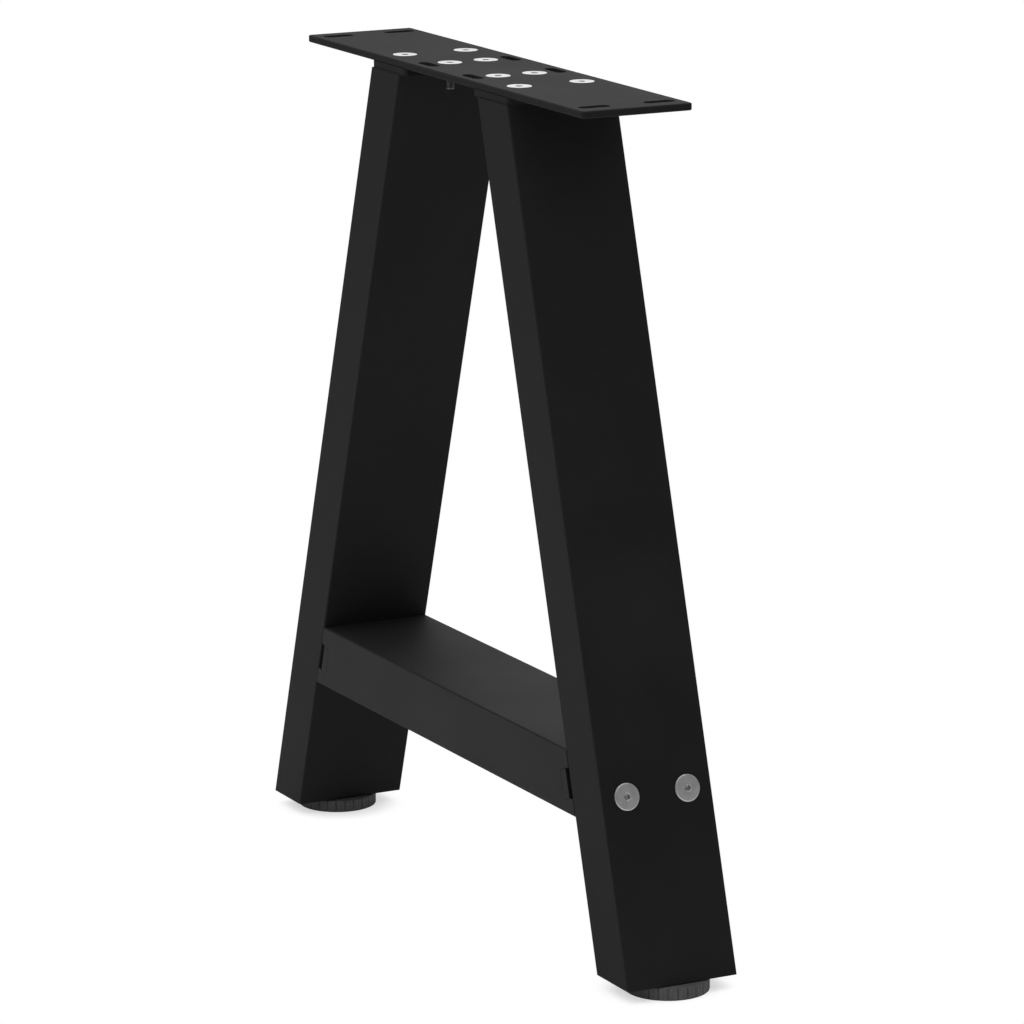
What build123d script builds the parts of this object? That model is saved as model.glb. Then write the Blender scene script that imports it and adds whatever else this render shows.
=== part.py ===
from build123d import *

import os
from math import atan2, cos, radians, sin, tan

# Trestle table leg: an A-frame of two splayed box-section legs under a long steel mounting plate.
# Millimetres, +Z up. X runs along the mounting plate, Y across it. The origin is on the floor,
# midway between the two feet. The frame is the same on both sides, so each paired piece is drawn
# for the right side, where X is positive, and mirrored to the left.

# Overall size
overall_height = 715.0
base_width = 664.0  # over the legs' outer faces, where they end above the feet
top_width = 247.6  # over the same faces, under the flanges

# Mounting plate
plate_length = 500.0
plate_depth = 100.0
plate_thickness = 6.0
plate_corner_radius = 3.0
plate_edge_chamfer = 0.8
slot_width = 10.0
slot_length = 28.0
end_slot_spacing_x = 462.0
end_slot_spacing_y = 59.0
middle_slot_spacing_x = 80.0
middle_slot_spacing_y = 77.0

# Leg tube
tube_width = 50.8
tube_depth = 101.6
tube_wall = 3.0
tube_corner_radius = 1.5
tube_inner_radius = 0.5

# Flange welded on each leg, with a tongue towards the middle of the plate
flange_thickness = 6.0
flange_step = 0.8  # from the leg's narrow faces in to the flange's
flange_inner_lap = 9.0
flange_corner_radius = 4.0
tongue_depth = 58.0
tongue_past_bolt = 14.0

# Plate bolts, two over each leg and two through its tongue
outer_bolt_inset = 20.3  # from the leg's outer face
outer_bolt_spacing = 58.0
inner_bolt_reach = 27.2  # from the leg's inner face
inner_bolt_spacing = 34.0
plate_bolt_length = 22.5
plate_bolt_head_diameter = 21.0
plate_bolt_head_angle = 120.0
plate_bolt_sunk = 0.1

# What all the bolts share
bolt_diameter = 8.0
bolt_hole_diameter = 9.0
socket_size = 5.0  # across flats
socket_depth = 2.8
thread_clearance = 0.05
countersink_clearance = 0.2

# Cross bar
bar_height = 54.0
bar_underside = 134.4
bar_wall = 3.0
bar_corner_radius = 1.5
bar_inner_radius = 0.5

# End plate in each mouth of the bar, with a lug in a notch of each side wall
end_plate_setback = 5.5
end_plate_thickness = 9.5
end_plate_clearance = 0.1
lug_height = 25.0
lug_corner_radius = 4.5
lug_clearance = 0.3

# Bolts through each leg into the end plate
bar_bolt_spacing = 56.2
bar_bolt_lift = 11.4  # above the underside of the bar, where the bolt leaves the leg
bar_bolt_length = 65.0
bar_bolt_head_diameter = 22.6
bar_bolt_head_height = 1.4
bar_bolt_bevel_width = 0.9
bar_bolt_bevel_height = 0.5

# Levelling foot
foot_diameter = 70.0
foot_height = 10.4
foot_recess_diameter = 52.0
foot_recess_depth = 1.5
rib_count = 26
rib_groove_half_width = 1.3
rib_groove_depth = 0.6
collar_diameter = 26.0
collar_height = 0.8
stud_diameter = 10.0
stud_length = 32.0
stud_seat_height = 3.5
stud_clearance = 0.08

# Closing plate and weld nut in the lower end of each leg
base_plate_thickness = 4.0
base_plate_clearance = 0.1
base_plate_corner = 1.0
base_hole_diameter = 11.0
nut_size = 17.0  # across flats
nut_height = 8.5
nut_chamfer = 0.8

# Heights that follow from these
leg_base = foot_height + collar_height
plate_underside = overall_height - plate_thickness
leg_top = plate_underside - flange_thickness
bar_middle = bar_underside + bar_height / 2
plate_bolt_top = overall_height - plate_bolt_sunk

# The leg's lean from upright, and where its faces are at a given height
lean = atan2((base_width - top_width) / 2, leg_top - leg_base)
tube_span_x = tube_width / cos(lean)


def outer_face_x(height):
    # X of the right leg's outer face
    return base_width / 2 - (height - leg_base) * tan(lean)


def inner_face_x(height):
    # X of the right leg's inner face
    return outer_face_x(height) - tube_span_x


foot_x = outer_face_x(leg_base) - tube_span_x / 2
leg_axis_plane = Plane(
    origin=(foot_x, 0, leg_base),
    x_dir=(cos(lean), 0, sin(lean)),
    z_dir=(-sin(lean), 0, cos(lean)),
)

# The right leg's inner face, looking towards the middle, and the plane that the bar is drawn on
inner_face_plane = Plane(
    origin=(inner_face_x(bar_middle), 0, bar_middle),
    x_dir=(0, 1, 0),
    z_dir=(-cos(lean), 0, -sin(lean)),
)
left_inner_face_plane = Plane(
    origin=(-inner_face_x(bar_middle), 0, bar_middle),
    x_dir=(0, 1, 0),
    z_dir=(cos(lean), 0, -sin(lean)),
)
bar_section_plane = Plane(origin=(0, 0, bar_middle), x_dir=(0, 1, 0), z_dir=(1, 0, 0))

# Side view of the bar's right end, its X running square away from the leg's inner face
end_plate_side_plane = Plane(
    origin=(inner_face_x(bar_middle), 0, bar_middle),
    x_dir=(-cos(lean), 0, -sin(lean)),
    z_dir=(0, -1, 0),
)

# The bar bolts stand square to the leg, so their heads are higher than where they leave it
bar_bolt_head_z = bar_underside + bar_bolt_lift + tube_width * sin(lean)
bar_bolt_plane = Plane(
    origin=(outer_face_x(bar_bolt_head_z), 0, bar_bolt_head_z),
    x_dir=(0, 1, 0),
    z_dir=(cos(lean), 0, sin(lean)),
)

# Where the plate bolts stand: on the right, two by two, and in the front row of all
outer_bolt_x = outer_face_x(leg_top) - outer_bolt_inset
inner_bolt_x = inner_face_x(leg_top) - inner_bolt_reach
front_bolt_places = [(outer_bolt_x, -outer_bolt_spacing / 2), (inner_bolt_x, -inner_bolt_spacing / 2)]
right_bolt_places = front_bolt_places + [(x, -y) for x, y in front_bolt_places]
plate_bolt_places = right_bolt_places + [(-x, y) for x, y in right_bolt_places]
bolt_radius = bolt_diameter / 2
head_radius = plate_bolt_head_diameter / 2
head_slope = tan(radians(plate_bolt_head_angle / 2))
head_cone_height = (head_radius - bolt_radius) / head_slope
seat_radius = head_radius + countersink_clearance + plate_bolt_sunk * head_slope
tapped_radius = bolt_radius + thread_clearance

os.makedirs("parts", exist_ok=True)


# A finished piece is labelled and written under its own name
def write(piece, name):
    piece.label = name
    export_step(piece, f"parts/{name}.step")


# A right-hand piece is written with its mirror image on the left
def write_pair(right_piece, name):
    write(right_piece, f"{name}_right")
    with BuildPart() as left_piece:
        mirror(right_piece, about=Plane.YZ)
    write(left_piece.part, f"{name}_left")


# The right-hand bolts of a front row are written with their mirror images, row by row
def write_rows(right_bolts, name):
    with BuildPart() as front_row:
        add(right_bolts)
        mirror(right_bolts, about=Plane.YZ)
    write(front_row.part, f"{name}_front")
    with BuildPart() as back_row:
        mirror(front_row.part, about=Plane.XZ)
    write(back_row.part, f"{name}_back")


# Mounting plate with four slots near its ends and four beside its middle
with BuildPart() as top_plate:
    with BuildSketch(Plane.XY.offset(plate_underside)):
        RectangleRounded(plate_length, plate_depth, plate_corner_radius)
        with GridLocations(end_slot_spacing_x, end_slot_spacing_y, 2, 2):
            SlotOverall(slot_length, slot_width, rotation=90, mode=Mode.SUBTRACT)
        with GridLocations(middle_slot_spacing_x, middle_slot_spacing_y, 2, 2):
            SlotOverall(slot_length, slot_width, mode=Mode.SUBTRACT)
    extrude(amount=plate_thickness)
    top_rim = top_plate.faces().sort_by(Axis.Z)[-1].outer_wire().edges()
    bottom_rim = top_plate.faces().sort_by(Axis.Z)[0].outer_wire().edges()
    chamfer(top_rim + bottom_rim, plate_edge_chamfer)
    with Locations(*[(x, y, overall_height) for x, y in plate_bolt_places]):
        CounterSinkHole(
            radius=bolt_hole_diameter / 2,
            counter_sink_radius=seat_radius,
            depth=plate_thickness,
            counter_sink_angle=plate_bolt_head_angle,
        )
write(top_plate.part, "top_plate")

# Leg tube, its ends cut level, with holes for the bolts that hold the cross bar
with BuildPart() as leg_tube:
    with BuildSketch(leg_axis_plane):
        RectangleRounded(tube_width, tube_depth, tube_corner_radius)
        RectangleRounded(
            tube_width - 2 * tube_wall,
            tube_depth - 2 * tube_wall,
            tube_inner_radius,
            mode=Mode.SUBTRACT,
        )
    extrude(amount=overall_height / cos(lean), both=True)
    split(bisect_by=Plane.XY.offset(leg_base), keep=Keep.TOP)
    split(bisect_by=Plane.XY.offset(leg_top), keep=Keep.BOTTOM)
    with BuildSketch(bar_bolt_plane):
        with GridLocations(bar_bolt_spacing, 0, 2, 1):
            Circle(bolt_hole_diameter / 2)
    extrude(amount=-2 * tube_width, mode=Mode.SUBTRACT)
write_pair(leg_tube.part, "leg_tube")

# Flange on the leg's upper end, as wide as the leg, narrowing to a tongue for the inner bolts
with BuildPart() as leg_flange:
    tongue_end_x = inner_bolt_x - tongue_past_bolt
    shoulder_x = inner_face_x(leg_top) - flange_inner_lap
    outer_end_x = outer_face_x(leg_top)
    flange_side_y = tube_depth / 2 - flange_step
    with BuildSketch(Plane.XY.offset(leg_top)):
        with BuildLine():
            Polyline(
                (tongue_end_x, -tongue_depth / 2),
                (shoulder_x, -tongue_depth / 2),
                (shoulder_x, -flange_side_y),
                (outer_end_x, -flange_side_y),
                (outer_end_x, flange_side_y),
                (shoulder_x, flange_side_y),
                (shoulder_x, tongue_depth / 2),
                (tongue_end_x, tongue_depth / 2),
                close=True,
            )
        flange_outline = make_face()
        side_corners = flange_outline.vertices().group_by(Axis.Y)
        fillet(side_corners[0] + side_corners[-1], flange_corner_radius)
        with Locations(*right_bolt_places):
            Circle(tapped_radius, mode=Mode.SUBTRACT)
    extrude(amount=flange_thickness)
write_pair(leg_flange.part, "leg_flange")

# Closing plate welded just inside the leg's lower end, with a hole for the foot's stud
with BuildPart() as leg_base_plate:
    with BuildSketch(leg_axis_plane):
        base_outline = Rectangle(
            tube_width - 2 * (tube_wall + base_plate_clearance),
            tube_depth - 2 * (tube_wall + base_plate_clearance),
        )
        chamfer(base_outline.vertices(), base_plate_corner)
    extrude(amount=tube_width, both=True)
    split(bisect_by=Plane.XY.offset(leg_base), keep=Keep.TOP)
    split(bisect_by=Plane.XY.offset(leg_base + base_plate_thickness), keep=Keep.BOTTOM)
    with Locations((foot_x, 0, leg_base)):
        Hole(base_hole_diameter / 2)
write_pair(leg_base_plate.part, "leg_base_plate")

# Nut welded on the closing plate, for the foot's stud
with BuildPart() as foot_nut:
    with BuildSketch(Plane.XY.offset(leg_base + base_plate_thickness)):
        with Locations((foot_x, 0)):
            RegularPolygon(nut_size / 2, 6, major_radius=False)
            Circle(stud_diameter / 2 + stud_clearance, mode=Mode.SUBTRACT)
    extrude(amount=nut_height)
    nut_top = foot_nut.faces().sort_by(Axis.Z)[-1].outer_wire().edges()
    chamfer(nut_top, nut_chamfer)
write_pair(foot_nut.part, "foot_nut")

# Round foot with a ribbed edge, a collar that stops against the leg and a shallow recess below
with BuildPart() as foot_disc:
    with BuildSketch(Plane.XZ):
        with BuildLine():
            rim = foot_diameter / 2
            collar_top = foot_height + collar_height
            stud_bore = stud_diameter / 2 + thread_clearance
            Polyline(
                (0, foot_recess_depth),
                (foot_recess_diameter / 2, foot_recess_depth),
                (foot_recess_diameter / 2, 0),
                (rim, 0),
                (rim, foot_height),
                (collar_diameter / 2, foot_height),
                (collar_diameter / 2, collar_top),
                (stud_bore, collar_top),
                (stud_bore, stud_seat_height),
                (0, stud_seat_height),
                close=True,
            )
        make_face()
    revolve(axis=Axis.Z)
    with BuildSketch(Plane.XY):
        with PolarLocations(rim, rib_count):
            Polygon(
                (-rib_groove_depth, 0),
                (rib_groove_depth, rib_groove_half_width),
                (rib_groove_depth, -rib_groove_half_width),
                align=None,
            )
    extrude(amount=foot_height, mode=Mode.SUBTRACT)
with BuildPart() as seated_disc:
    with Locations((foot_x, 0, 0)):
        add(foot_disc.part)
write_pair(seated_disc.part, "foot_disc")

# Stud that stands in the foot and screws up into the nut
with BuildPart() as foot_stud:
    with BuildSketch(Plane.XY.offset(stud_seat_height)):
        with Locations((foot_x, 0)):
            Circle(stud_diameter / 2)
    extrude(amount=stud_length)
write_pair(foot_stud.part, "foot_stud")


# Notch through both side walls of the bar at its right end, open towards the leg
with BuildPart() as lug_notch:
    notch_depth = end_plate_setback + end_plate_thickness + lug_clearance
    with BuildSketch(end_plate_side_plane) as notch_side:
        with Locations((notch_depth / 2 - end_plate_setback / 2, 0)):
            Rectangle(notch_depth + end_plate_setback, lug_height + 2 * lug_clearance)
        notch_corners = notch_side.vertices().sort_by(Axis.X)[-2:]
        fillet(notch_corners, lug_corner_radius + lug_clearance)
    extrude(amount=tube_depth, both=True)

# Cross bar between the legs, its ends cut to lie flat on their inner faces
with BuildPart() as cross_bar:
    with BuildSketch(bar_section_plane):
        RectangleRounded(tube_depth, bar_height, bar_corner_radius)
        RectangleRounded(
            tube_depth - 2 * bar_wall,
            bar_height - 2 * bar_wall,
            bar_inner_radius,
            mode=Mode.SUBTRACT,
        )
    extrude(amount=base_width / 2, both=True)
    split(bisect_by=inner_face_plane, keep=Keep.TOP)
    split(bisect_by=left_inner_face_plane, keep=Keep.TOP)
    add(lug_notch.part, mode=Mode.SUBTRACT)
    mirror(lug_notch.part, about=Plane.YZ, mode=Mode.SUBTRACT)
write(cross_bar.part, "cross_bar")

# Thick end plate in the mouth of the bar, tapped for the bolts, its lugs flush with the side walls
with BuildPart() as bar_end_plate:
    with BuildSketch(bar_section_plane):
        RectangleRounded(
            tube_depth - 2 * (bar_wall + end_plate_clearance),
            bar_height - 2 * (bar_wall + end_plate_clearance),
            bar_inner_radius,
        )
    extrude(amount=base_width / 2)
    split(bisect_by=inner_face_plane.offset(end_plate_setback), keep=Keep.TOP)
    split(
        bisect_by=inner_face_plane.offset(end_plate_setback + end_plate_thickness),
        keep=Keep.BOTTOM,
    )
    with BuildSketch(end_plate_side_plane) as lug_side:
        with Locations((end_plate_setback + end_plate_thickness / 2, 0)):
            Rectangle(end_plate_thickness, lug_height)
        lug_corners = lug_side.vertices().sort_by(Axis.X)[-2:]
        fillet(lug_corners, lug_corner_radius)
    extrude(amount=tube_depth / 2, both=True)
    with BuildSketch(bar_bolt_plane):
        with GridLocations(bar_bolt_spacing, 0, 2, 1):
            Circle(tapped_radius)
    extrude(amount=-2 * tube_width, mode=Mode.SUBTRACT)
write_pair(bar_end_plate.part, "bar_end_plate")

# Countersunk bolt for the plate, the middle of its head at the origin
with BuildPart() as plate_bolt:
    with BuildSketch(Plane.XZ):
        with BuildLine():
            Polyline(
                (0, 0),
                (head_radius, 0),
                (bolt_radius, -head_cone_height),
                (bolt_radius, -plate_bolt_length),
                (0, -plate_bolt_length),
                close=True,
            )
        make_face()
    revolve(axis=Axis.Z)
    with BuildSketch(Plane.XY):
        RegularPolygon(socket_size / 2, 6, major_radius=False)
    extrude(amount=-socket_depth, mode=Mode.SUBTRACT)
with BuildPart() as right_plate_bolts:
    with Locations(*[(x, y, plate_bolt_top) for x, y in front_bolt_places]):
        add(plate_bolt.part)
write_rows(right_plate_bolts.part, "plate_bolts")

# Long bolt with a thin flat head and a bevelled rim, the underside of its head at the origin
with BuildPart() as bar_bolt:
    with BuildSketch(Plane.XZ):
        with BuildLine():
            wide = bar_bolt_head_diameter / 2
            Polyline(
                (0, bar_bolt_head_height),
                (wide - bar_bolt_bevel_width, bar_bolt_head_height),
                (wide, bar_bolt_head_height - bar_bolt_bevel_height),
                (wide, 0),
                (bolt_radius, 0),
                (bolt_radius, -bar_bolt_length),
                (0, -bar_bolt_length),
                close=True,
            )
        make_face()
    revolve(axis=Axis.Z)
    with BuildSketch(Plane.XY.offset(bar_bolt_head_height)):
        RegularPolygon(socket_size / 2, 6, major_radius=False)
    extrude(amount=-socket_depth, mode=Mode.SUBTRACT)
with BuildPart() as right_bar_bolt:
    with Locations(bar_bolt_plane):
        with Locations((-bar_bolt_spacing / 2, 0)):
            add(bar_bolt.part)
write_rows(right_bar_bolt.part, "bar_bolts")

print(f"lean {lean / radians(1):.3f} degrees, foot centre x {foot_x:.2f}, bar bolt head z {bar_bolt_head_z:.2f}")
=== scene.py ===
from math import ceil, cos, pi, radians, tan

import bmesh
import bpy
from mathutils import Matrix, Vector


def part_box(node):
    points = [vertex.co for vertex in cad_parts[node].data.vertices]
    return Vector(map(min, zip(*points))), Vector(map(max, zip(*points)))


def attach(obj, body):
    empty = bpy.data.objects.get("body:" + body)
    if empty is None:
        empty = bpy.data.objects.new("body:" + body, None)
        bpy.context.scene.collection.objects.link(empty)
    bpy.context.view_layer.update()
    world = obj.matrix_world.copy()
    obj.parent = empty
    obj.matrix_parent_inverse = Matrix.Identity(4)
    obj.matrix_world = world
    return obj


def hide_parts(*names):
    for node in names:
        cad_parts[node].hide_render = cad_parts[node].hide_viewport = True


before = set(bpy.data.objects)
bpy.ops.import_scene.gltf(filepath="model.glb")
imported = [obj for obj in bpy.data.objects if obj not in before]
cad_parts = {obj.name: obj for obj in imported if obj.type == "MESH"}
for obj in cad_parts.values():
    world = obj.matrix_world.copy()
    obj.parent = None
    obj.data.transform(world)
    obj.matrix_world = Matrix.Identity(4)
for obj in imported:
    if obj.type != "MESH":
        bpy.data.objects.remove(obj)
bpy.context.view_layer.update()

millimetre = 0.001  # new pieces are drawn in millimetres and brought to metres when they are placed
fullTurn = 2 * pi
hair = 0.0001  # millimetres, within which two points of a drawing are one


# Materials

def addNode(tree, kind, **settings):
    node = tree.nodes.new(kind)
    for name, value in settings.items():
        setattr(node, name, value)
    return node


def makeGrainGroup(grainDetail, cloudDetail):
    # a fine relief and a slow cloud, which every finish of the leg takes in its own sizes
    group = bpy.data.node_groups.new("surfaceGrain", "ShaderNodeTree")
    group.interface.new_socket("Vector", in_out="INPUT", socket_type="NodeSocketVector")
    for name in ("Grain Scale", "Speck Scale", "Cloud Scale"):
        group.interface.new_socket(name, in_out="INPUT", socket_type="NodeSocketFloat")
    for name in ("Height", "Cloud"):
        group.interface.new_socket(name, in_out="OUTPUT", socket_type="NodeSocketFloat")
    entry = addNode(group, "NodeGroupInput")
    grain = addNode(group, "ShaderNodeTexNoise", noise_dimensions="3D")
    grain.inputs["Detail"].default_value = grainDetail
    specks = addNode(group, "ShaderNodeTexVoronoi", feature="SMOOTH_F1")
    cloud = addNode(group, "ShaderNodeTexNoise", noise_dimensions="3D")
    cloud.inputs["Detail"].default_value = cloudDetail
    relief = addNode(group, "ShaderNodeMath", operation="ADD")
    leave = addNode(group, "NodeGroupOutput")
    for texture, scale in ((grain, "Grain Scale"), (specks, "Speck Scale"), (cloud, "Cloud Scale")):
        group.links.new(entry.outputs["Vector"], texture.inputs["Vector"])
        group.links.new(entry.outputs[scale], texture.inputs["Scale"])
    group.links.new(grain.outputs["Fac"], relief.inputs[0])
    group.links.new(specks.outputs["Distance"], relief.inputs[1])
    group.links.new(relief.outputs["Value"], leave.inputs["Height"])
    group.links.new(cloud.outputs["Fac"], leave.inputs["Cloud"])
    return group


def makeFinish(name, look, grainGroup):
    material = bpy.data.materials.new(name)
    material.use_nodes = True
    tree = material.node_tree
    shader = tree.nodes["Principled BSDF"]
    shader.inputs["Metallic"].default_value = look["metallic"]
    shader.inputs["Specular IOR Level"].default_value = look["specular"]
    place = addNode(tree, "ShaderNodeTexCoord")
    grain = addNode(tree, "ShaderNodeGroup", node_tree=grainGroup)
    grain.inputs["Grain Scale"].default_value = look["grainScale"]
    grain.inputs["Speck Scale"].default_value = look["speckScale"]
    grain.inputs["Cloud Scale"].default_value = look["cloudScale"]
    tree.links.new(place.outputs["Object"], grain.inputs["Vector"])
    tone = addNode(tree, "ShaderNodeMapRange")
    tone.inputs["From Min"].default_value = look["cloudRange"][0]
    tone.inputs["From Max"].default_value = look["cloudRange"][1]
    tree.links.new(grain.outputs["Cloud"], tone.inputs["Value"])
    colour = addNode(tree, "ShaderNodeMix", data_type="RGBA")
    colour.inputs["A"].default_value = (*look["dark"], 1)
    colour.inputs["B"].default_value = (*look["light"], 1)
    tree.links.new(tone.outputs["Result"], colour.inputs["Factor"])
    tree.links.new(colour.outputs["Result"], shader.inputs["Base Color"])
    gloss = addNode(tree, "ShaderNodeMapRange")
    gloss.inputs["To Min"].default_value = look["roughness"][0]
    gloss.inputs["To Max"].default_value = look["roughness"][1]
    tree.links.new(tone.outputs["Result"], gloss.inputs["Value"])
    tree.links.new(gloss.outputs["Result"], shader.inputs["Roughness"])
    relief = addNode(tree, "ShaderNodeBump")
    relief.inputs["Strength"].default_value = look["bumpStrength"]
    relief.inputs["Distance"].default_value = look["bumpDistance"]
    tree.links.new(grain.outputs["Height"], relief.inputs["Height"])
    tree.links.new(relief.outputs["Normal"], shader.inputs["Normal"])
    return material


powderCoatLook = {
    "dark": (0.0076, 0.0076, 0.0076),
    "light": (0.0104, 0.0104, 0.0103),
    "metallic": 0.0,
    "specular": 0.06,
    "roughness": (0.58, 0.66),
    "grainScale": 1400.0,  # features of about 0.7 mm
    "speckScale": 2600.0,
    "cloudScale": 9.0,
    "cloudRange": (0.3, 0.7),  # the part of the cloud that goes from the dark colour to the light one
    "bumpStrength": 0.35,
    "bumpDistance": 0.00006,
}
shadedBarCoatLook = {  # the cross bar and its end plates, the same coat with a little more shine, its colour darkened as painted shade
    **powderCoatLook,
    "dark": (0.0058, 0.0058, 0.0058),
    "light": (0.0082, 0.0082, 0.0081),
    "specular": 0.12,
}
zincLook = {  # the bolt heads on the plate, and the nuts
    "dark": (0.58, 0.585, 0.59),
    "light": (0.68, 0.685, 0.69),
    "metallic": 1.0,
    "specular": 0.5,
    "roughness": (0.34, 0.44),
    "grainScale": 2200.0,
    "speckScale": 5200.0,
    "cloudScale": 160.0,
    "cloudRange": (0.3, 0.7),
    "bumpStrength": 0.12,
    "bumpDistance": 0.00003,
}
shadedSatinZincLook = {  # the bolt heads on the legs, the same zinc but rougher, its colour darkened as painted shade
    **zincLook,
    "dark": (0.37, 0.37, 0.37),
    "light": (0.43, 0.43, 0.43),
    "roughness": (0.46, 0.54),
}
shadedSocketZincLook = {  # inside their sockets, the zinc darkened as painted shade in the hollow
    **zincLook,
    "dark": (0.38, 0.38, 0.38),
    "light": (0.45, 0.45, 0.45),
    "roughness": (0.50, 0.58),
}
paintedShadeZincLook = {  # every thread, and inside the sockets on the plate, the zinc darkened as painted shade
    **zincLook,
    "dark": (0.13, 0.13, 0.13),
    "light": (0.18, 0.18, 0.18),
    "roughness": (0.36, 0.46),
}
footPlasticLook = {
    "dark": (0.048, 0.048, 0.048),
    "light": (0.060, 0.060, 0.060),
    "metallic": 0.0,
    "specular": 0.2,
    "roughness": (0.42, 0.52),
    "grainScale": 1800.0,
    "speckScale": 4200.0,
    "cloudScale": 60.0,
    "cloudRange": (0.3, 0.7),
    "bumpStrength": 0.2,
    "bumpDistance": 0.00004,
}

grainGroup = makeGrainGroup(grainDetail=3.0, cloudDetail=4.0)
powderCoat = makeFinish("blackPowderCoat", powderCoatLook, grainGroup)
shadedBarCoat = makeFinish("shadedBarPowderCoat", shadedBarCoatLook, grainGroup)
zincPlate = makeFinish("zincPlate", zincLook, grainGroup)
shadedSatinZinc = makeFinish("shadedSatinZinc", shadedSatinZincLook, grainGroup)
shadedSocketZinc = makeFinish("shadedSocketZinc", shadedSocketZincLook, grainGroup)
paintedShadeZinc = makeFinish("paintedShadeZinc", paintedShadeZincLook, grainGroup)
footPlastic = makeFinish("footPlastic", footPlasticLook, grainGroup)
print("seven finishes made")


def dressNodes(material, names):
    for name in names:
        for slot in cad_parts[name].material_slots:
            slot.material = material


legNodes = [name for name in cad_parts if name.startswith(("top", "leg"))]
barNodes = [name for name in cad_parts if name.startswith(("cross", "bar_end"))]
dressNodes(powderCoat, legNodes)
# the bar takes the darkened copy of the coat, a painted shade
dressNodes(shadedBarCoat, barNodes)
dressNodes(zincPlate, ["foot_nut_left", "foot_nut_right"])
print("frame pieces coated:", len(legNodes) + len(barNodes))


# Mesh tools

socketSlot = 1  # the second of a bolt's finishes is for the inside of its socket
threadSlot = 2  # and the third for its thread
sharpAngle = radians(28)  # an edge that turns less is shaded smooth
ringReach = 0.01  # millimetres by which a point may miss the radius of its ring
cutReach = hair / 10  # and by which it may miss a cutting plane


def turnProfile(profile, steps):
    # spins pairs of radius and height once round Z
    bm = bmesh.new()
    verts = [bm.verts.new((radius, 0, height)) for radius, height in profile]
    edges = [bm.edges.new(pair) for pair in zip(verts, verts[1:])]
    bmesh.ops.spin(
        bm, geom=verts + edges, cent=(0, 0, 0), axis=(0, 0, 1), dvec=(0, 0, 0),
        angle=fullTurn, steps=steps, use_merge=True,
    )
    bmesh.ops.remove_doubles(bm, verts=bm.verts[:], dist=hair)
    return bm


def openEdges(bm, height):
    # the edges of an open rim at one height
    return [e for e in bm.edges if e.is_boundary and all(abs(v.co.z - height) < hair for v in e.verts)]


def growRim(bm, edges, share, drop):
    # carries an open rim on, scaled about Z and moved down, and returns the new rim
    grown = bmesh.ops.extrude_edge_only(bm, edges=edges)["geom"]
    verts = [item for item in grown if isinstance(item, bmesh.types.BMVert)]
    bmesh.ops.scale(bm, vec=(share, share, 1), verts=verts)
    bmesh.ops.translate(bm, vec=(0, 0, -drop), verts=verts)
    return [e for e in grown if isinstance(e, bmesh.types.BMEdge) and all(v in verts for v in e.verts)]


def closeRims(bm):
    bmesh.ops.holes_fill(bm, edges=[e for e in bm.edges if e.is_boundary], sides=0)


def roundEdges(bm, edges, width, segments):
    bmesh.ops.bevel(
        bm, geom=edges, offset=width, offset_type="OFFSET", segments=segments,
        profile=0.5, affect="EDGES", material=-1, clamp_overlap=True,
    )


def ringEdges(bm, radius, height):
    # the edges that run round Z at one radius and height
    def onRing(vert):
        return abs(vert.co.xy.length - radius) < ringReach and abs(vert.co.z - height) < hair
    return [e for e in bm.edges if all(onRing(v) for v in e.verts)]


def joinInto(bm, other):
    mesh = bpy.data.meshes.new("joined")
    other.to_mesh(mesh)
    other.free()
    bm.from_mesh(mesh)
    bpy.data.meshes.remove(mesh)


def sinkSocket(bm, socket):
    # closes an open head at height 0 with a flat face and a hexagonal socket with a chamfered mouth
    mouth = growRim(bm, openEdges(bm, 0), 1, 0)
    for vert in {v for e in mouth for v in e.verts}:
        fromCorner = vert.co.xy.angle_signed(Vector((1, 0))) % (fullTurn / 6)
        reach = socket["size"] / 2 / cos(fromCorner - fullTurn / 12)
        vert.co.xy = vert.co.xy.normalized() * reach * socket["mouthShare"]
    outside = set(bm.faces)
    walls = growRim(bm, mouth, 1 / socket["mouthShare"], socket["mouthDepth"])
    floor = growRim(bm, walls, 1, socket["depth"] - socket["mouthDepth"])
    growRim(bm, floor, 0, socket["coneDepth"])
    for face in set(bm.faces) - outside:
        face.material_index = socketSlot
    bmesh.ops.remove_doubles(bm, verts=bm.verts[:], dist=hair)


# where a thread's crest begins and ends and its root begins, in parts of the pitch
threadForm = {"crestTop": 0.40, "crestBottom": 0.52, "rootTop": 0.92}


def threadedRod(thread, top, bottom):
    # a helical thread between two heights, closed at both ends, with a chamfered tip
    crest = thread["diameter"] / 2
    root = crest - thread["depth"]
    pitch = thread["pitch"]
    start = top + pitch  # the first turn is cut off at the top
    bm = bmesh.new()
    profile = [
        (root, start),
        (crest, start - threadForm["crestTop"] * pitch),
        (crest, start - threadForm["crestBottom"] * pitch),
        (root, start - threadForm["rootTop"] * pitch),
        (root, start - pitch),
    ]
    verts = [bm.verts.new((radius, 0, height)) for radius, height in profile]
    edges = [bm.edges.new(pair) for pair in zip(verts, verts[1:])]
    turns = ceil((start - bottom) / pitch) + 1
    bmesh.ops.spin(
        bm, geom=verts + edges, cent=(0, 0, 0), axis=(0, 0, 1),
        dvec=(0, 0, -pitch / thread["steps"]), angle=turns * fullTurn, steps=turns * thread["steps"],
    )
    bmesh.ops.remove_doubles(bm, verts=bm.verts[:], dist=hair)
    for height, way in ((top, 1), (bottom, -1)):
        bmesh.ops.bisect_plane(
            bm, geom=bm.verts[:] + bm.edges[:] + bm.faces[:], dist=cutReach,
            plane_co=(0, 0, height), plane_no=(0, 0, way), clear_outer=True,
        )
    closeRims(bm)
    for face in bm.faces:
        face.material_index = threadSlot
    for vert in bm.verts:  # the tip is turned down at 45 degrees
        reach = crest - thread["tipChamfer"] + vert.co.z - bottom
        if vert.co.xy.length > reach:
            vert.co.xy *= reach / vert.co.xy.length
    return bm


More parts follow.
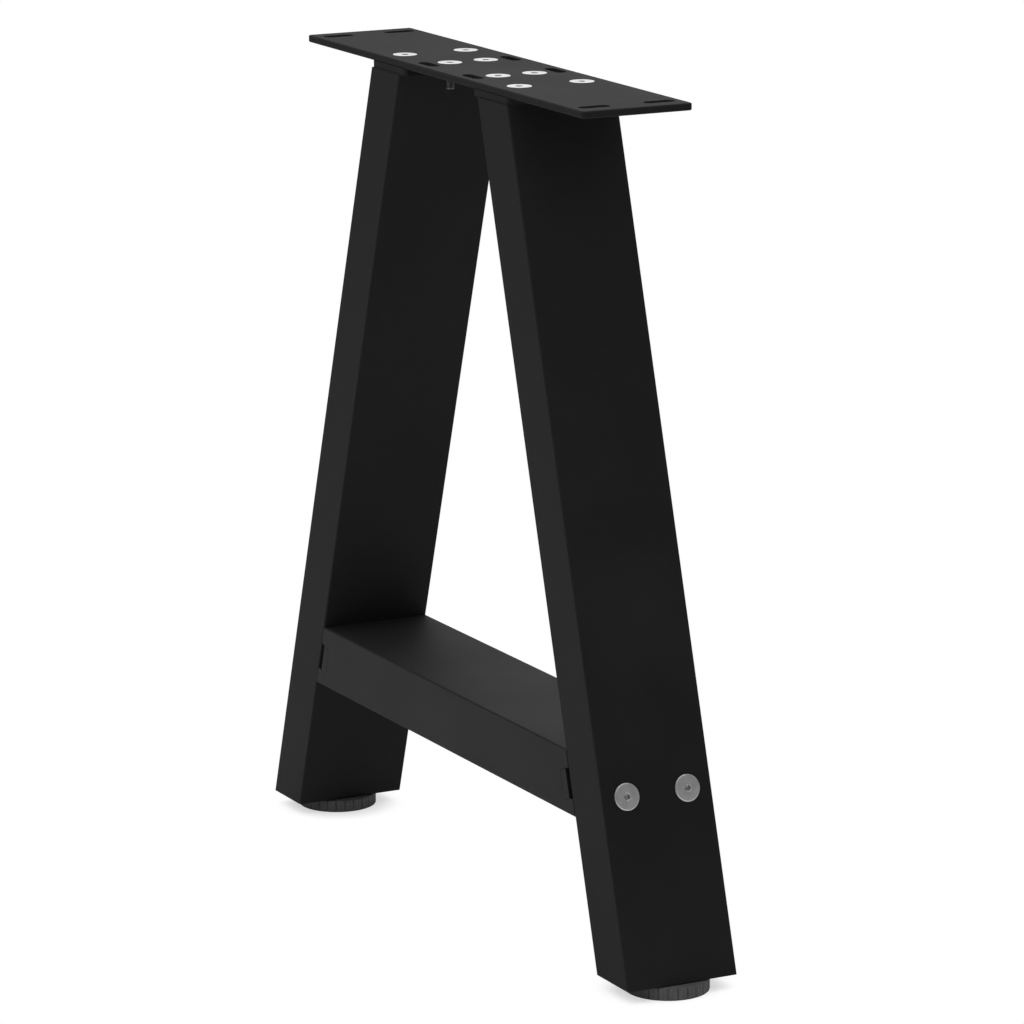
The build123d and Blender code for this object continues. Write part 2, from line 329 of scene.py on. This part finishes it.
def toMesh(bm, name):
    bmesh.ops.recalc_face_normals(bm, faces=bm.faces[:])
    for face in bm.faces:
        face.smooth = True
    for edge in bm.edges:
        edge.smooth = edge.is_manifold and edge.calc_face_angle() < sharpAngle
    mesh = bpy.data.meshes.new(name)
    bm.to_mesh(mesh)
    bm.free()
    return mesh


def placeCopies(name, drawing, seats, finishes):
    # one object with a copy of the drawing at each seat
    bm = bmesh.new()
    for seat in seats:
        before = len(bm.verts)
        bm.from_mesh(drawing)
        bm.verts.ensure_lookup_table()
        toSeat = seat @ Matrix.Scale(millimetre, 4)
        bmesh.ops.transform(bm, matrix=toSeat, verts=bm.verts[before:])
    mesh = bpy.data.meshes.new(name)
    bm.to_mesh(mesh)
    bm.free()
    for finish in finishes:
        mesh.materials.append(finish)
    piece = bpy.data.objects.new(name, mesh)
    bpy.context.scene.collection.objects.link(piece)
    return piece


weldDistance = 0.01 * millimetre  # between the loose triangles of a frame piece
turnBetweenBolts = radians(23)  # from one bolt's socket to the next


def loosePieces(node):
    # the vertex places of each separate solid of a frame piece
    bm = bmesh.new()
    bm.from_mesh(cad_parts[node].data)
    bmesh.ops.remove_doubles(bm, verts=bm.verts[:], dist=weldDistance)
    waiting = set(bm.verts)
    found = []
    while waiting:
        border = [waiting.pop()]
        solid = []
        while border:
            vert = border.pop()
            solid.append(vert.co.copy())
            near = {e.other_vert(vert) for e in vert.link_edges} & waiting
            waiting -= near
            border.extend(near)
        found.append(solid)
    bm.free()
    return found


def boltSeats(node, axisAt, firstTurn):
    # where the top of each bolt's head is, and which way it looks
    seats = []
    solids = sorted(loosePieces(node), key=lambda solid: sum(v.x for v in solid) / len(solid))
    for index, solid in enumerate(solids):
        turn = axisAt(solid).to_track_quat("Z", "Y").to_matrix()
        inside = [turn.transposed() @ v for v in solid]
        low = [min(v[i] for v in inside) for i in range(3)]
        high = [max(v[i] for v in inside) for i in range(3)]
        top = turn @ Vector(((low[0] + high[0]) / 2, (low[1] + high[1]) / 2, high[2]))
        spun = Matrix.Rotation(firstTurn + index * turnBetweenBolts, 4, "Z")
        seats.append(Matrix.Translation(top) @ turn.to_4x4() @ spun)
    return seats


# Countersunk bolts in the mounting plate

# both kinds of bolt have the same socket and the same thread
boltSocket = {"size": 5.0, "mouthShare": 1.2, "mouthDepth": 0.4, "depth": 2.8, "coneDepth": 0.9}
boltThread = {"diameter": 8.0, "depth": 0.7, "pitch": 1.25, "steps": 28, "tipChamfer": 0.6}

plateBolt = {
    "headDiameter": 21.0,
    "headAngle": radians(120),
    "rimBreak": 0.25,
    "neck": 0.4,  # plain length between the head and the thread
    "length": 22.5,
    "rimSteps": 3,
    "socket": boltSocket,
    "thread": boltThread,
    "steps": 60,  # round the head
    "firstTurns": {"front": radians(8), "back": radians(31)},  # of the sockets in the two rows
    # the socket and the thread take the darkened zinc, a painted shade
    "finishes": (zincPlate, paintedShadeZinc, paintedShadeZinc),
}


def drawPlateBolt(sizes):
    wide = sizes["headDiameter"] / 2
    narrow = sizes["thread"]["diameter"] / 2
    coneBottom = -(wide - narrow) / tan(sizes["headAngle"] / 2)
    neckBottom = coneBottom - sizes["neck"]
    bm = turnProfile([(wide, 0), (narrow, coneBottom), (narrow, neckBottom), (0, neckBottom)], sizes["steps"])
    sinkSocket(bm, sizes["socket"])
    roundEdges(bm, ringEdges(bm, wide, 0), sizes["rimBreak"], sizes["rimSteps"])
    joinInto(bm, threadedRod(sizes["thread"], neckBottom, -sizes["length"]))
    return toMesh(bm, "plateBoltDrawing")


plateBoltDrawing = drawPlateBolt(plateBolt)
for row, firstTurn in plateBolt["firstTurns"].items():
    node = f"plate_bolts_{row}"
    seats = boltSeats(node, lambda solid: Vector((0, 0, 1)), firstTurn)
    bolts = placeCopies(f"plateBolts{row.title()}", plateBoltDrawing, seats, plateBolt["finishes"])
    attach(bolts, "frame")
    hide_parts(node)
print("plate bolts made:", len(plateBoltDrawing.polygons), "faces each")


# Flat-headed bolts through the legs into the cross bar

barBolt = {
    "headDiameter": 22.6,
    "headHeight": 1.4,
    "bevelWidth": 0.9,
    "bevelHeight": 0.5,
    "rimBreak": 0.15,
    "length": 65.0,
    "plainLength": 38.0,  # between the head and the thread
    "rimSteps": 3,
    "socket": boltSocket,
    "thread": boltThread,
    "steps": 60,  # round the head
    "firstTurns": {"front": radians(4), "back": radians(40)},  # of the sockets in the two rows
    # the head, its socket and its thread all take darkened zinc, a painted shade
    "finishes": (shadedSatinZinc, shadedSocketZinc, paintedShadeZinc),
}


def drawBarBolt(sizes):
    wide = sizes["headDiameter"] / 2
    flat = wide - sizes["bevelWidth"]
    narrow = sizes["thread"]["diameter"] / 2
    bevelled = -sizes["bevelHeight"]
    under = -sizes["headHeight"]
    plainEnd = under - sizes["plainLength"]
    profile = [(flat, 0), (wide, bevelled), (wide, under), (narrow, under), (narrow, plainEnd), (0, plainEnd)]
    bm = turnProfile(profile, sizes["steps"])
    sinkSocket(bm, sizes["socket"])
    rims = ringEdges(bm, flat, 0) + ringEdges(bm, wide, bevelled) + ringEdges(bm, wide, under)
    roundEdges(bm, rims, sizes["rimBreak"], sizes["rimSteps"])
    joinInto(bm, threadedRod(sizes["thread"], plainEnd, under - sizes["length"]))
    return toMesh(bm, "barBoltDrawing")


def outwardFromLeg(solid):
    # square to the outer face of the leg that the bolt goes through
    side = "right" if solid[0].x > 0 else "left"
    widest = max(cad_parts[f"leg_tube_{side}"].data.polygons, key=lambda face: face.area)
    normal = widest.normal.copy()
    return normal if normal.x * solid[0].x > 0 else -normal


barBoltDrawing = drawBarBolt(barBolt)
for row, firstTurn in barBolt["firstTurns"].items():
    node = f"bar_bolts_{row}"
    seats = boltSeats(node, outwardFromLeg, firstTurn)
    bolts = placeCopies(f"barBolts{row.title()}", barBoltDrawing, seats, barBolt["finishes"])
    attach(bolts, "frame")
    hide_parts(node)
print("bar bolts made:", len(barBoltDrawing.polygons), "faces each")


# Levelling feet

foot = {
    "recessDiameter": 52.0,
    "recessDepth": 1.5,
    "collarDiameter": 26.0,
    "collarHeight": 0.8,
    "boreDiameter": 10.1,
    "boreFloor": 3.5,
    "ribs": 26,
    "ribDepth": 0.45,  # each ring of the rim pulls the grooves in by this anew, so they deepen upwards
    "fluteDepth": 0.2,  # and the fine groove down the middle of each rib by this
    "stepsPerRib": 16,
    "edgeRound": 0.5,
    "edgeShare": 0.3,  # of the round, where its middle ring is
    "edgeRibs": 0.4,  # how much of those depths its inner ring pulls
    "recessBreak": 0.3,  # the chamfers at the mouth of the recess and on the collar
    "collarBreak": 0.2,
    "finishes": (footPlastic,),
}


def ribbed(vert, sizes):
    # how far one ring pulls a point in from the two crests of its rib, which bulge from groove to flute:
    # turn is 0 at one groove, a half at the flute and 1 at the next groove
    turn = (vert.co.xy.angle_signed(Vector((1, 0))) / fullTurn * sizes["ribs"]) % 1
    depth = sizes["ribDepth"] if abs(turn - 0.5) > 0.25 else sizes["fluteDepth"]
    return depth * (4 * turn % 2 - 1) ** 2


def drawFoot(sizes, diameter, height):
    rim = diameter / 2
    recess = sizes["recessDiameter"] / 2
    collar = sizes["collarDiameter"] / 2
    bore = sizes["boreDiameter"] / 2
    edge = sizes["edgeRound"]
    edgeMiddle = sizes["edgeShare"] * edge
    discTop = height - sizes["collarHeight"]
    levels = [  # radius, height and how much of the ribs' depths each ring adds to the ring before
        (recess, sizes["recessDepth"], 0),
        (recess, sizes["recessBreak"], 0),
        (recess + sizes["recessBreak"], 0, 0),
        (rim - edge, 0, sizes["edgeRibs"]),
        (rim - edgeMiddle, edgeMiddle, 1),
        (rim, edge, 1),
        (rim, discTop - edge, 1),
        (rim - edgeMiddle, discTop - edgeMiddle, 1),
        (rim - edge, discTop, sizes["edgeRibs"]),
        (collar + sizes["collarBreak"], discTop, 0),
        (collar, discTop + sizes["collarBreak"], 0),
        (collar, height - sizes["collarBreak"], 0),
        (collar - sizes["collarBreak"], height, 0),
        (bore, height, 0),
        (bore, sizes["boreFloor"], 0),
    ]
    lastRadius, lastHeight, ribShare = levels[0]
    bm = bmesh.new()  # each ring grows from the one before, so the collar and the bore keep its ribs
    bmesh.ops.create_circle(bm, segments=sizes["ribs"] * sizes["stepsPerRib"], radius=lastRadius)
    bmesh.ops.translate(bm, vec=(0, 0, lastHeight), verts=bm.verts[:])
    edges = bm.edges[:]
    for radius, level, ribShare in levels[1:]:
        edges = growRim(bm, edges, radius / lastRadius, lastHeight - level)
        if ribShare:
            for vert in {v for e in edges for v in e.verts}:
                vert.co.xy *= 1 - ribShare * ribbed(vert, sizes) / radius
        lastRadius, lastHeight = radius, level
    closeRims(bm)
    return toMesh(bm, "footDrawing")


footStud = {
    "thread": {"diameter": 10.0, "depth": 0.8, "pitch": 1.5, "steps": 32, "tipChamfer": 1.2},
    "finishes": (zincPlate, shadedSocketZinc, paintedShadeZinc),  # it is all thread, so only the third shows, its zinc darkened as painted shade
}


def drawStud(sizes, length):
    bm = threadedRod(sizes["thread"], 0, -length)
    return toMesh(bm, "studDrawing")


for side in ("left", "right"):
    low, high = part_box(f"foot_disc_{side}")
    middle = (low + high) / 2
    drawing = drawFoot(foot, (high.y - low.y) / millimetre, (high.z - low.z) / millimetre)
    seat = Matrix.Translation((middle.x, middle.y, low.z))
    disc = placeCopies(f"footDisc{side.title()}", drawing, [seat], foot["finishes"])
    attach(disc, f"foot_{side}")
    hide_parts(f"foot_disc_{side}")
    low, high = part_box(f"foot_stud_{side}")
    seat = Matrix.Translation((middle.x, middle.y, low.z)) @ Matrix.Rotation(pi, 4, "X")  # tip upwards
    drawing = drawStud(footStud, (high.z - low.z) / millimetre)
    stud = placeCopies(f"footStud{side.title()}", drawing, [seat], footStud["finishes"])
    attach(stud, f"foot_{side}")
    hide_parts(f"foot_stud_{side}")
print("levelling feet made:", len(disc.data.polygons), "faces in a disc")


# Floor, light and camera

studio = {
    "floorSize": 60.0,
    "floorColour": (0.94, 0.94, 0.94),
    "shadowShare": 0.42,  # how much of its shadow the white floor shows beside a foot
    "shadowFrom": 0.036,  # metres from the middle of a foot, where the floor begins to turn plain white
    "shadowTo": 0.064,
    "ambient": 0.60,  # light from all round
    "nearGloss": 0.20,  # what shiny pieces see on the camera's side
    "backdropGloss": 1.0,  # and on the side of the backdrop
    "backdropWay": (-0.86, 0.46, 0.22),
    "backdropEdge": (0.45, 0.97),  # it comes up between these cosines of the angle off that way
}

lamps = {
    "overhead": {"place": (-0.1, -0.2, 2.4), "aim": (0, 0, 0.3), "size": 3.6, "power": 74.0},
    "fill": {"place": (0.5, -2.9, 1.5), "aim": (0, 0, 0.4), "size": 1.8, "power": 12.0},
    "rear": {"place": (-0.4, 3.0, 1.3), "aim": (0, 0, 0.4), "size": 1.8, "power": 16.0},
}

viewpoint = {
    "place": (3.8257, -2.0030, 1.3373),
    "down": 13.072,  # degrees below level
    "azimuth": 62.143,
    "sensor": 36.0,  # millimetres
    "focalPixels": 5217.26,  # the focal length, counted in pixels of the picture
    "imagePixels": 1024,  # across the picture
    "farthest": 100.0,  # metres
}


def makeFloor(look, footPlace):
    # near a foot the camera sees some of the shaded paint, and farther out plain white
    bm = bmesh.new()
    bmesh.ops.create_grid(bm, x_segments=1, y_segments=1, size=look["floorSize"] / 2)
    mesh = bpy.data.meshes.new("floor")
    bm.to_mesh(mesh)
    bm.free()
    floor = bpy.data.objects.new("floor", mesh)
    bpy.context.scene.collection.objects.link(floor)
    material = bpy.data.materials.new("paleFloor")
    material.use_nodes = True
    tree = material.node_tree
    paint = tree.nodes["Principled BSDF"]
    paint.inputs["Base Color"].default_value = (*look["floorColour"], 1)
    paint.inputs["Roughness"].default_value = 1.0
    paint.inputs["Specular IOR Level"].default_value = 0.0
    white = addNode(tree, "ShaderNodeEmission")
    place = addNode(tree, "ShaderNodeTexCoord")
    eitherSide = addNode(tree, "ShaderNodeVectorMath", operation="ABSOLUTE")
    fromFoot = addNode(tree, "ShaderNodeVectorMath", operation="DISTANCE")
    fromFoot.inputs[1].default_value = footPlace
    fade = addNode(tree, "ShaderNodeMapRange", interpolation_type="SMOOTHSTEP")
    fade.inputs["From Min"].default_value = look["shadowFrom"]
    fade.inputs["From Max"].default_value = look["shadowTo"]
    fade.inputs["To Min"].default_value = 1 - look["shadowShare"]
    seen = addNode(tree, "ShaderNodeLightPath")
    share = addNode(tree, "ShaderNodeMath", operation="MULTIPLY")
    mix = addNode(tree, "ShaderNodeMixShader")
    tree.links.new(place.outputs["Object"], eitherSide.inputs[0])
    tree.links.new(eitherSide.outputs["Vector"], fromFoot.inputs[0])
    tree.links.new(fromFoot.outputs["Value"], fade.inputs["Value"])
    tree.links.new(fade.outputs["Result"], share.inputs[0])
    tree.links.new(seen.outputs["Is Camera Ray"], share.inputs[1])
    tree.links.new(share.outputs["Value"], mix.inputs["Fac"])
    tree.links.new(paint.outputs["BSDF"], mix.inputs[1])
    tree.links.new(white.outputs["Emission"], mix.inputs[2])
    tree.links.new(mix.outputs["Shader"], tree.nodes["Material Output"].inputs["Surface"])
    mesh.materials.append(material)


def makeWorld(look):
    # light from all round, with a bright backdrop that shiny pieces see, and plain white for the camera
    world = bpy.data.worlds.new("studio")
    world.use_nodes = True
    bpy.context.scene.world = world
    tree = world.node_tree
    sky = tree.nodes["Background"]
    way = addNode(tree, "ShaderNodeTexCoord")
    towards = addNode(tree, "ShaderNodeVectorMath", operation="DOT_PRODUCT")
    towards.inputs[1].default_value = look["backdropWay"]
    shine = addNode(tree, "ShaderNodeMapRange", interpolation_type="SMOOTHSTEP")
    shine.inputs["From Min"].default_value = look["backdropEdge"][0]
    shine.inputs["From Max"].default_value = look["backdropEdge"][1]
    shine.inputs["To Min"].default_value = look["nearGloss"]
    shine.inputs["To Max"].default_value = look["backdropGloss"]
    ray = addNode(tree, "ShaderNodeLightPath")
    forGloss = addNode(tree, "ShaderNodeMix", data_type="FLOAT")
    forGloss.inputs["A"].default_value = look["ambient"]
    forCamera = addNode(tree, "ShaderNodeMix", data_type="FLOAT")
    forCamera.inputs["B"].default_value = 1.0
    tree.links.new(way.outputs["Generated"], towards.inputs[0])
    tree.links.new(towards.outputs["Value"], shine.inputs["Value"])
    tree.links.new(ray.outputs["Is Glossy Ray"], forGloss.inputs["Factor"])
    tree.links.new(shine.outputs["Result"], forGloss.inputs["B"])
    tree.links.new(forGloss.outputs["Result"], forCamera.inputs["A"])
    tree.links.new(ray.outputs["Is Camera Ray"], forCamera.inputs["Factor"])
    tree.links.new(forCamera.outputs["Result"], sky.inputs["Strength"])
    sky.inputs["Color"].default_value = (1, 1, 1, 1)


def addLamp(name, look):
    lamp = bpy.data.lights.new(name, "AREA")
    lamp.shape = "SQUARE"
    lamp.size = look["size"]
    lamp.energy = look["power"]
    holder = bpy.data.objects.new(name, lamp)
    bpy.context.scene.collection.objects.link(holder)
    holder.location = look["place"]
    way = Vector(look["aim"]) - Vector(look["place"])
    holder.rotation_euler = way.to_track_quat("-Z", "Y").to_euler()


def makeCamera(view):
    camera = bpy.data.objects.new("camera", bpy.data.cameras.new("camera"))
    bpy.context.scene.collection.objects.link(camera)
    camera.location = view["place"]
    camera.rotation_euler = (radians(90 - view["down"]), 0, radians(view["azimuth"]))
    camera.data.sensor_width = view["sensor"]
    camera.data.lens = view["sensor"] * view["focalPixels"] / view["imagePixels"]
    camera.data.clip_end = view["farthest"]
    bpy.context.scene.camera = camera


low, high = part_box("foot_disc_right")
makeFloor(studio, ((low.x + high.x) / 2, 0, 0))
makeWorld(studio)
for name, look in lamps.items():
    addLamp(name, look)
makeCamera(viewpoint)
bpy.context.scene.view_settings.view_transform = "Standard"
print("studio ready")
